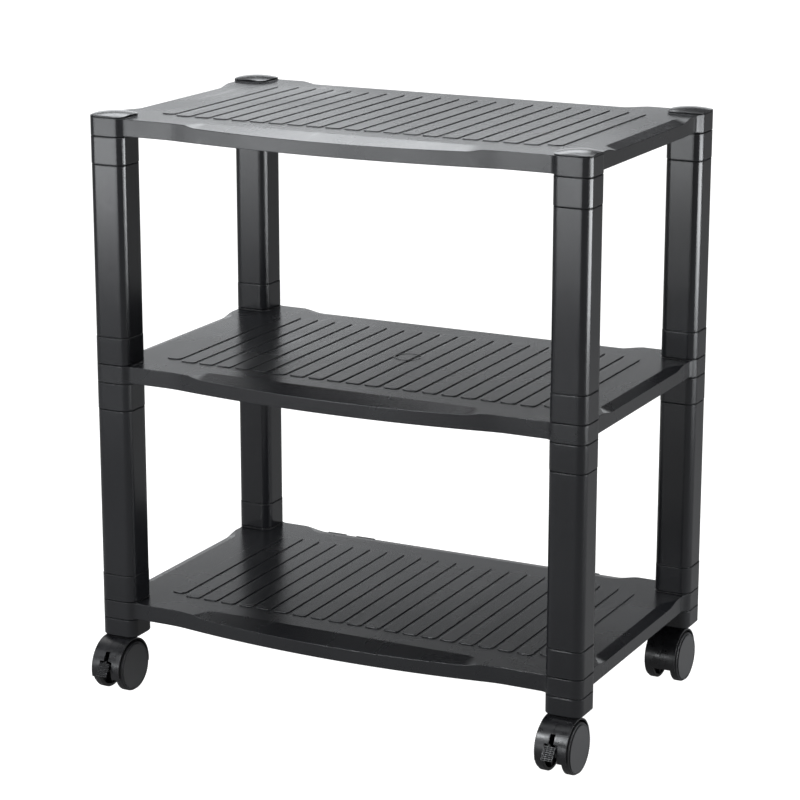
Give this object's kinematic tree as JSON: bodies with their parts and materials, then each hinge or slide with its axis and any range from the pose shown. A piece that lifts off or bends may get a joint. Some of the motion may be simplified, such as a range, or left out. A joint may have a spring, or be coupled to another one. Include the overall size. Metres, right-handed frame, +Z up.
{
  "type": "mobile printer stand",
  "caption": "Mobile stand of three moulded shelves with raised pads on four sectional corner posts, rolling on twin-wheel casters; the front casters have brake levers.",
  "frame": {"origin": "centre of the bounding box's bottom, on the floor under the wheels", "axes": "+Z up; -Y towards the front, where the shelves bow out and the casters have brake levers; +X to the right seen from the front"},
  "size_m": [0.5, 0.3314, 0.5577],
  "materials": {
    "shelf_plastic": "fine matte grain, charcoal",
    "post_plastic": "satin, charcoal",
    "hood_plastic": "satin with a fine mottle, black",
    "wheel_plastic": "matte, dark grey",
    "socket_plastic": "matte, black",
    "clip_plastic": "satin, black",
    "stem_steel": "zinc plated"
  },
  "bodies": {
    "stand": {"top_shelf": "shelf_plastic", "middle_shelf": "shelf_plastic", "bottom_shelf": "shelf_plastic", "front_left_cap": "post_plastic", "front_left_top_collar": "post_plastic", "front_left_upper_tube": "post_plastic", "front_left_middle_upper_collar": "post_plastic", "front_left_middle_lower_collar": "post_plastic", "front_left_lower_tube": "post_plastic", "front_left_bottom_collar": "post_plastic", "front_left_foot": "post_plastic", "front_left_caster_stem": "stem_steel", "front_right_cap": "post_plastic", "front_right_top_collar": "post_plastic", "front_right_upper_tube": "post_plastic", "front_right_middle_upper_collar": "post_plastic", "front_right_middle_lower_collar": "post_plastic", "front_right_lower_tube": "post_plastic", "front_right_bottom_collar": "post_plastic", "front_right_foot": "post_plastic", "front_right_caster_stem": "stem_steel", "back_left_cap": "post_plastic", "back_left_top_collar": "post_plastic", "back_left_upper_tube": "post_plastic", "back_left_middle_upper_collar": "post_plastic", "back_left_middle_lower_collar": "post_plastic", "back_left_lower_tube": "post_plastic", "back_left_bottom_collar": "post_plastic", "back_left_foot": "post_plastic", "back_left_caster_stem": "stem_steel", "back_right_cap": "post_plastic", "back_right_top_collar": "post_plastic", "back_right_upper_tube": "post_plastic", "back_right_middle_upper_collar": "post_plastic", "back_right_middle_lower_collar": "post_plastic", "back_right_lower_tube": "post_plastic", "back_right_bottom_collar": "post_plastic", "back_right_foot": "post_plastic", "back_right_caster_stem": "stem_steel", "caster_sockets": "socket_plastic", "cable_clips": "clip_plastic"},
    "front_left_caster": {"front_left_caster_hood": "hood_plastic", "front_left_caster_axle": "stem_steel"},
    "front_left_left_roller": {"front_left_left_wheel": "wheel_plastic"},
    "front_left_right_roller": {"front_left_right_wheel": "wheel_plastic"},
    "front_left_brake": {"front_left_brake_lever": "hood_plastic"},
    "front_right_caster": {"front_right_caster_hood": "hood_plastic", "front_right_caster_axle": "stem_steel"},
    "front_right_left_roller": {"front_right_left_wheel": "wheel_plastic"},
    "front_right_right_roller": {"front_right_right_wheel": "wheel_plastic"},
    "front_right_brake": {"front_right_brake_lever": "hood_plastic"},
    "back_left_caster": {"back_left_caster_hood": "hood_plastic", "back_left_caster_axle": "stem_steel"},
    "back_left_left_roller": {"back_left_left_wheel": "wheel_plastic"},
    "back_left_right_roller": {"back_left_right_wheel": "wheel_plastic"},
    "back_right_caster": {"back_right_caster_hood": "hood_plastic", "back_right_caster_axle": "stem_steel"},
    "back_right_left_roller": {"back_right_left_wheel": "wheel_plastic"},
    "back_right_right_roller": {"back_right_right_wheel": "wheel_plastic"}
  },
  "joints": [
    {"name": "front_left_swivel", "type": "hinge", "parent": "stand", "child": "front_left_caster", "pos_m": [-0.2317, -0.11588, 0.052], "axis": [0, 0, 1], "continuous": true},
    {"name": "front_left_left_spin", "type": "hinge", "parent": "front_left_caster", "child": "front_left_left_roller", "pos_m": [-0.2317, -0.13038, 0.024], "axis": [1, 0, 0], "continuous": true},
    {"name": "front_left_right_spin", "type": "hinge", "parent": "front_left_caster", "child": "front_left_right_roller", "pos_m": [-0.2317, -0.13038, 0.024], "axis": [1, 0, 0], "continuous": true},
    {"name": "front_left_brake_lift", "type": "hinge", "parent": "front_left_caster", "child": "front_left_brake", "pos_m": [-0.2317, -0.13038, 0.024], "axis": [-1, 0, 0], "range_deg": [0, 30]},
    {"name": "front_right_swivel", "type": "hinge", "parent": "stand", "child": "front_right_caster", "pos_m": [0.2317, -0.11588, 0.052], "axis": [0, 0, 1], "continuous": true},
    {"name": "front_right_left_spin", "type": "hinge", "parent": "front_right_caster", "child": "front_right_left_roller", "pos_m": [0.2317, -0.13038, 0.024], "axis": [1, 0, 0], "continuous": true},
    {"name": "front_right_right_spin", "type": "hinge", "parent": "front_right_caster", "child": "front_right_right_roller", "pos_m": [0.2317, -0.13038, 0.024], "axis": [1, 0, 0], "continuous": true},
    {"name": "front_right_brake_lift", "type": "hinge", "parent": "front_right_caster", "child": "front_right_brake", "pos_m": [0.2317, -0.13038, 0.024], "axis": [-1, 0, 0], "range_deg": [0, 30]},
    {"name": "back_left_swivel", "type": "hinge", "parent": "stand", "child": "back_left_caster", "pos_m": [-0.2317, 0.14752, 0.052], "axis": [0, 0, 1], "continuous": true},
    {"name": "back_left_left_spin", "type": "hinge", "parent": "back_left_caster", "child": "back_left_left_roller", "pos_m": [-0.2317, 0.13302, 0.024], "axis": [1, 0, 0], "continuous": true},
    {"name": "back_left_right_spin", "type": "hinge", "parent": "back_left_caster", "child": "back_left_right_roller", "pos_m": [-0.2317, 0.13302, 0.024], "axis": [1, 0, 0], "continuous": true},
    {"name": "back_right_swivel", "type": "hinge", "parent": "stand", "child": "back_right_caster", "pos_m": [0.2317, 0.14752, 0.052], "axis": [0, 0, 1], "continuous": true},
    {"name": "back_right_left_spin", "type": "hinge", "parent": "back_right_caster", "child": "back_right_left_roller", "pos_m": [0.2317, 0.13302, 0.024], "axis": [1, 0, 0], "continuous": true},
    {"name": "back_right_right_spin", "type": "hinge", "parent": "back_right_caster", "child": "back_right_right_roller", "pos_m": [0.2317, 0.13302, 0.024], "axis": [1, 0, 0], "continuous": true}
  ]
}
